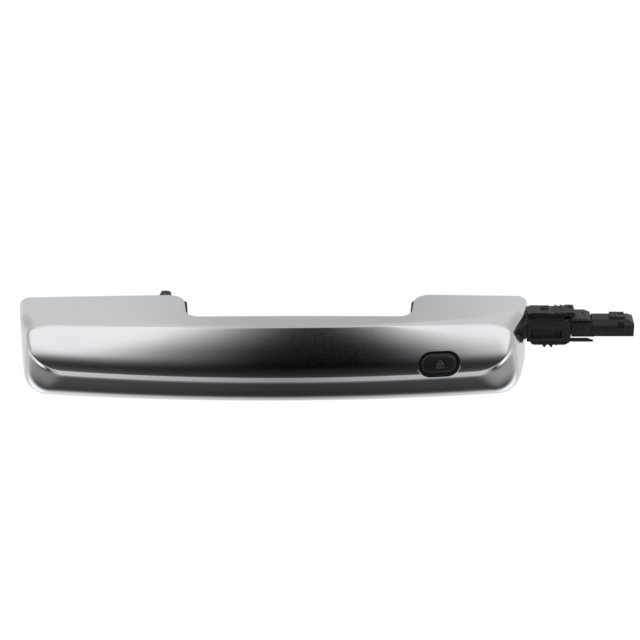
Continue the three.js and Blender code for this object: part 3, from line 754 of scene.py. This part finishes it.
def outline_loop(margin, depth, follow):
    """A loop round the button: at a fixed depth, or following the front's surface."""
    loop = []
    for x, z in button_outline(margin, 12):
        loop.append(Vector((x, pillow_y(x, z) + depth if follow else depth, z)))
    return loop


def lofted(name, loops):
    """A closed solid through loops with equal counts, capped flat or by a fan at both ends."""
    count = len(loops[0])
    vertices = [point for loop in loops for point in loop]
    faces = []
    for r in range(len(loops) - 1):
        for i in range(count):
            j = (i + 1) % count
            faces.append((r * count + i, r * count + j, (r + 1) * count + j, (r + 1) * count + i))
    for start, flip in ((0, True), ((len(loops) - 1) * count, False)):
        middle = sum(vertices[start:start + count], Vector()) / count
        vertices.append(middle)
        for i in range(count):
            face = (start + i, start + (i + 1) % count, len(vertices) - 1)
            faces.append(face[::-1] if flip else face)
    body = mesh_object(name, vertices, faces)
    tidy_normals(body)
    return body


def hole_cutter():
    """The button's opening in the front, flared at the surface to leave a bright chamfered rim."""
    return lofted("button_cutter", [
        outline_loop(1.2, -20.0, False), outline_loop(1.2, 0.25, True),
        outline_loop(1.45, -0.05, True), outline_loop(2.3, -0.9, True)])


def make_button(cap_material, icon_material, seal_material):
    loops = [
        outline_loop(FLANGE_MARGIN, FLANGE_BACK, False),
        outline_loop(FLANGE_MARGIN, FLANGE_FRONT, False),
        outline_loop(0.0, FLANGE_FRONT, False)]
    loops += [outline_loop(margin, BUTTON_SINK + sink, True) for margin, sink in CAP_PROFILE]
    cap = lofted("button_cap", loops)
    stem = [(BUTTON_X + STEM_RADIUS * math.cos(a / STEM_STEPS * math.tau),
             BUTTON_Z + STEM_RADIUS * math.sin(a / STEM_STEPS * math.tau)) for a in range(STEM_STEPS)]
    boolean(cap, prism("stem", stem, "Y", STEM_FRONT, STEM_BACK), "UNION")
    smooth(cap, 40)
    finish_piece(cap, "button", cap_material, ["lock_button"])

    seal = lofted("button_seal_ring", [
        outline_loop(1.0, SEAL_BACK, False), outline_loop(1.0, 1.3, True), outline_loop(0.85, 1.0, True),
        outline_loop(0.5, 1.0, True), outline_loop(0.35, 1.3, True)])
    boolean(seal, prism("seal_hole", button_outline(0.3), "Y", -40, -20))
    smooth(seal, 40)
    finish_piece(seal, "handle_body", seal_material, ["button_seal"])
    make_icon(icon_material)


def stroke(points, half):
    """The outline of an open line drawn with a round pen."""
    left, right = [], []
    for i, (x, z) in enumerate(points):
        before = points[max(i - 1, 0)]
        after = points[min(i + 1, len(points) - 1)]
        along = Vector((after[0] - before[0], after[1] - before[1])).normalized() * half
        left.append((x - along.y, z + along.x))
        right.append((x + along.y, z - along.x))
    return left + right[::-1]


def make_icon(material):
    """A generic padlock, printed on the cap: shackle, case outline and keyhole."""
    shackle = [(0.85, 0.4), (0.85, 1.0)] + arc(0, 1.0, 0.85, 0, 180, 14) + [(-0.85, 0.4)]
    case = [(-1.35, 0.4), (1.35, 0.4), (1.35, -1.5), (-1.35, -1.5)]
    sides = [stroke([case[i], case[(i + 1) % 4]], 0.1) for i in range(4)]
    keyhole = arc(0, -0.4, 0.26, 0, 360, 12)[:-1]
    slot = [(-0.1, -0.5), (0.1, -0.5), (0.14, -1.0), (-0.14, -1.0)]
    parts = []
    for k, outline in enumerate([stroke(shackle, 0.12), keyhole, slot] + sides):
        moved = [(ICON_X + x, ICON_Z + z) for x, z in outline]
        level = pillow_y(ICON_X, ICON_Z) + BUTTON_SINK
        part = prism(f"icon_{k}", moved, "Y", level - 0.08, level + 0.3)
        for vertex in part.data.vertices:
            x, z = vertex.co.x / MM, vertex.co.z / MM
            vertex.co.y += (pillow_y(x, z) - pillow_y(ICON_X, ICON_Z)) * MM
        parts.append(part)
    icon = parts[0]
    for part in parts[1:]:
        boolean(icon, part, "UNION")
    icon.name = "button_icon"
    finish_piece(icon, "button", material, [])


def finish_piece(piece, body, material, nodes):
    paint(piece, material)
    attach(piece, body)
    if nodes:
        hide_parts(*nodes)


# ---- pieces that keep a CAD node's form and add mould detail ----
def from_node(name, node, extras=(), cuts=()):
    """The CAD node's form with its flat faces merged, extra solids joined on and cutters taken off."""
    bm = bmesh.new()
    bm.from_mesh(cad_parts[node].data)
    bmesh.ops.remove_doubles(bm, verts=bm.verts, dist=2e-6)
    bmesh.ops.dissolve_limit(bm, angle_limit=math.radians(1), verts=bm.verts, edges=bm.edges)
    mesh = bpy.data.meshes.new(name)
    bm.to_mesh(mesh)
    bm.free()
    piece = bpy.data.objects.new(name, mesh)
    bpy.context.scene.collection.objects.link(piece)
    for k, limits in enumerate(extras):
        boolean(piece, box_piece(f"{name}_extra_{k}", *limits), "UNION")
    for k, limits in enumerate(cuts):
        boolean(piece, box_piece(f"{name}_cut_{k}", *limits))
    return piece


def moulded(name, node, body, material, edge=0.18, extras=(), cuts=()):
    piece = from_node(name, node, extras, cuts)
    round_edges(piece, edge)
    smooth(piece, 40)
    finish_piece(piece, body, material, [node])
    return piece


def pocket_grid(places):
    """Cored-out pockets for the back of a base plate: (x, z, half width, half height) each."""
    return [(x - a, x + a, POCKET_FRONT, POCKET_BACK, z - b, z + b) for x, z, a, b in places]


POCKET_FRONT = -1.6
POCKET_BACK = 2
FOOT_POCKETS = [(-194, 5.6, 3.6, 3.4), (-185, 5.6, 3.6, 3.4), (-194, -10.4, 3.2, 3.0), (-176, -12, 3.2, 2.2),
                (-166, -12, 4.6, 2.2), (-155, -12, 4.2, 2.2), (-176, 7.2, 3.4, 2.4), (-166, 7.4, 4.6, 2.2),
                (-154.5, 8.6, 3.6, 1.4)]
HOOK_POCKETS = [(-12.5, 6.8, 3.4, 2.6), (-12.5, -2, 3.4, 3.2), (12.8, 8.4, 2.4, 1.4), (-1.5, 9.2, 4.2, 1.2),
                (-1.5, -12.8, 4.4, 1.6)]


def make_mouldings(black, liner, olive, rubber):
    moulded("finger_liner", "inner_cover", "handle_body", liner, 0.35, cuts=[
        (-116, -41, -20.9, -19.8, z - 0.45, z + 0.45) for z in (-5.5, -1.5, 2.5, 6.5)])
    moulded("foot_base", "rear_foot", "handle_body", black, 0.3, extras=[
        (-151.5, -142.2, -1, 3.4, -1.2, 0.2), (-141.4, -137.4, 9, 9.8, -7.25, 6.75),
        (-141.4, -137.4, 15, 15.8, -7.25, 6.75)],
        cuts=pocket_grid(FOOT_POCKETS))
    moulded("foot_pad", "foot_buffer", "handle_body", rubber, 0.3, extras=[
        (-171.5, -160.5, 0.4, 0.95, z - 0.4, z + 0.4) for z in (-4.4, -2, 0.4)])
    moulded("hook_base", "pivot_hook", "handle_body", black, 0.25, extras=[
        (20.2, 21.2, -7.05, -4, -1.2, 6.8), (17.6, 18.4, -7, -4, -1.2, 6.8),
        (28.6, 29.2, 5.3, 9.2, 3.9, 4.5), (28.6, 29.2, 5.3, 9.2, -3.4, -2.8),
        (38, 41.5, 5.2, 7.1, -1.6, 2.8), (41.3, 46.8, 6.5, 7.1, -1.6, 2.8),
        (36, 36.8, 5.2, 5.9, -3.4, 4.9), (40, 40.8, 5.2, 5.9, -3.4, 4.9)],
        cuts=pocket_grid(HOOK_POCKETS))
    moulded("sleeve_body", "latch_sleeve", "handle_body", black, 0.14, extras=[
        (25.6, 35.2, -6.45, -6.1, 1.3, 4.5), (36.2, 36.8, -6.4, -6.1, 1.2, 4.6),
        (38.4, 39, -6.4, -6.1, 1.2, 4.6), (41.6, 44.4, -6.4, -6.1, -4.2, -2.6),
        (28, 28.5, -5.6, -5.05, -3.4, 1), (39.4, 39.9, -5.6, -5.05, -3.4, 1)])
    moulded("upper_lever_arm", "upper_release_lever", "upper_lever", black, 0.16, extras=[
        (31, 35.6, -2.55, -1.9, 7.2, 7.75), (31, 35.6, 4.7, 5.35, 7.2, 7.75)],
        cuts=[(31.4, 35, 0, 3, 7.05, 9), (44, 45.8, -0.6, 3.6, 7.8, 9)])
    moulded("lower_lever_arm", "lower_release_lever", "lower_lever", black, 0.14, extras=[
        (38.4, 39, -5.2, 1.2, -7.45, -7)], cuts=[(30.6, 32, -3.4, -0.6, -8, -5)])
    moulded("plug_body", "connector_housing", "handle_body", black, 0.2, extras=[
        (71.4, 73.55, -5.2, -4.8, -2.6, 1.8), (71.4, 73.55, 4.8, 5.2, -2.6, 1.8),
        (47.2, 47.9, -4.9, -4.5, -2.6, 3.2), (50.6, 51.3, -4.9, -4.5, -2.6, 3.2),
        (63.4, 64, -2.4, 2.4, 5.5, 6.1), (65.2, 65.8, -2.4, 2.4, 5.5, 6.1),
        (57, 61, -5.25, -4.9, -1, 1), (57, 61, 4.9, 5.25, -1, 1)],
        cuts=[(55.6, 62.2, -5.4, -4.75, 1.45, 1.75), (66.5, 68.9, -1.4, 1.4, 5.6, 7),
              (55.6, 56.1, -6, 6, 4.5, 6)])
    moulded("terminal_slide", "terminal_lock", "lock_slide", olive, 0.18, extras=[
        (46.2, 46.7, -2.6, 5.8, 5.2, 5.45), (47.6, 48.1, -2.6, 5.8, 5.2, 5.45),
        (49, 49.5, -2.6, 5.8, 5.2, 5.45)], cuts=[(50.2, 51.4, -0.6, 3.8, 4.9, 6)])


# ---- screws ----
THREAD_TURNS = 11
THREAD_ROOT = 0.78
THREAD_CREST = 1.0
THREAD_HALF = 0.25
RECESS_ARM = 1.25
RECESS_WIDTH = 0.24
RECESS_DEPTH = 0.75


def lathe(name, x, z, profile, steps=28):
    """A turned part along Y: profile is (radius, y) pairs from end to end."""
    loops = []
    for radius, y in profile:
        loops.append([Vector((x + radius * math.cos(i / steps * math.tau), y,
                              z + radius * math.sin(i / steps * math.tau))) for i in range(steps)])
    return lofted(name, loops)


def make_screw(node, material):
    """A pan-head screw with a cross recess and a thread."""
    low, high = node_box(node)
    x, z = (low.x + high.x) / 2, (low.z + high.z) / 2
    head = (high.x - low.x) / 2
    back, tip = high.y, low.y
    profile = [(0.25, tip), (0.7, tip + 0.6)]
    for i in range(THREAD_TURNS):
        y = lerp(tip + 0.8, back - 1.7, i / (THREAD_TURNS - 1))
        profile += [(THREAD_ROOT, y - THREAD_HALF), (THREAD_CREST, y), (THREAD_ROOT, y + THREAD_HALF)]
    profile += [(0.8, back - 1.4), (head, back - 1.35), (head, back - 0.75), (head * 0.94, back - 0.4),
                (head * 0.75, back - 0.12), (head * 0.4, back)]
    screw = lathe(f"{node}_turned", x, z, profile)
    for a, b in ((RECESS_ARM, RECESS_WIDTH), (RECESS_WIDTH, RECESS_ARM)):
        boolean(screw, box_piece("recess", x - a, x + a, back - RECESS_DEPTH, back + 1, z - b, z + b))
    smooth(screw, 30)
    finish_piece(screw, "handle_body", material, [node])


# ---- the scene ----
add_camera()
add_world()
add_floor()
chrome = chrome_material()
black = plastic_material("black_plastic", (0.012, 0.0125, 0.013), (0.022, 0.0225, 0.023), 0.42)
liner = plastic_material("black_liner", (0.016, 0.016, 0.017), (0.028, 0.028, 0.029), 0.6, 1500.0, 0.3)
cap_black = plastic_material(
    "button_black", (0.007, 0.007, 0.0075), (0.012, 0.012, 0.0125), 0.3, 3000.0, 0.05)
icon_grey = plastic_material("icon_grey", (0.15, 0.14, 0.13), (0.21, 0.2, 0.185), 0.5)
olive = plastic_material("olive_plastic", (0.045, 0.046, 0.038), (0.06, 0.061, 0.05), 0.5)
white = plastic_material("white_plastic", (0.6, 0.59, 0.55), (0.68, 0.67, 0.63), 0.45)
chip = plastic_material("chip_black", (0.01, 0.01, 0.011), (0.02, 0.02, 0.021), 0.55, 4000.0, 0.25)
ceramic = plastic_material("ceramic_tan", (0.38, 0.25, 0.13), (0.5, 0.35, 0.2), 0.35)
ferrite = plastic_material("ferrite_grey", (0.03, 0.03, 0.032), (0.06, 0.06, 0.064), 0.65, 900.0, 0.4)
rubber = rubber_material()
steel = metal_material("screw_steel", (0.5, 0.5, 0.52), (0.66, 0.66, 0.67), 0.32)
brass = metal_material("terminal_brass", (0.66, 0.45, 0.16), (0.8, 0.6, 0.28), 0.28)
copper = metal_material("copper", (0.6, 0.26, 0.14), (0.75, 0.38, 0.22), 0.3)
wire = wound_material()
board = board_material()
LEAD_TONES = {
    "lead_1": ("lead_red", (0.26, 0.012, 0.012)), "lead_2": ("lead_black", (0.012, 0.012, 0.013)),
    "lead_3": ("lead_blue", (0.04, 0.13, 0.34)), "lead_4": ("lead_yellow", (0.55, 0.43, 0.04))}

make_shell(chrome)
make_button(cap_black, icon_grey, rubber)
make_mouldings(black, liner, olive, rubber)
for screw_node in ("cover_screw_1", "cover_screw_2", "foot_screw", "hook_screw_1", "hook_screw_2"):
    make_screw(screw_node, steel)

CARRIED = {
    "connector_seal": rubber, "button_frame": liner, "tact_switch": chip, "switch_plunger": white,
    "circuit_board": board, "microcontroller": chip, "antenna_driver": chip, "capacitor_1": ceramic,
    "capacitor_2": ceramic, "electronics_tray": liner, "antenna_bobbin": liner, "ferrite_core": ferrite,
    "antenna_coil": wire, "sensor_electrode": copper, "terminal_1": brass, "terminal_2": brass,
    "terminal_3": brass, "terminal_4": brass}
for lead_node, (label, tone) in LEAD_TONES.items():
    darker = tuple(value * 0.75 for value in tone)
    CARRIED[lead_node] = plastic_material(label, darker, tone, 0.45, 1800.0, 0.08)
for name, material in CARRIED.items():
    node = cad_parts[name]
    paint(node, material)
    smooth(node, 35)
    if not name.startswith("lead"):
        round_edges(node, 0.12)
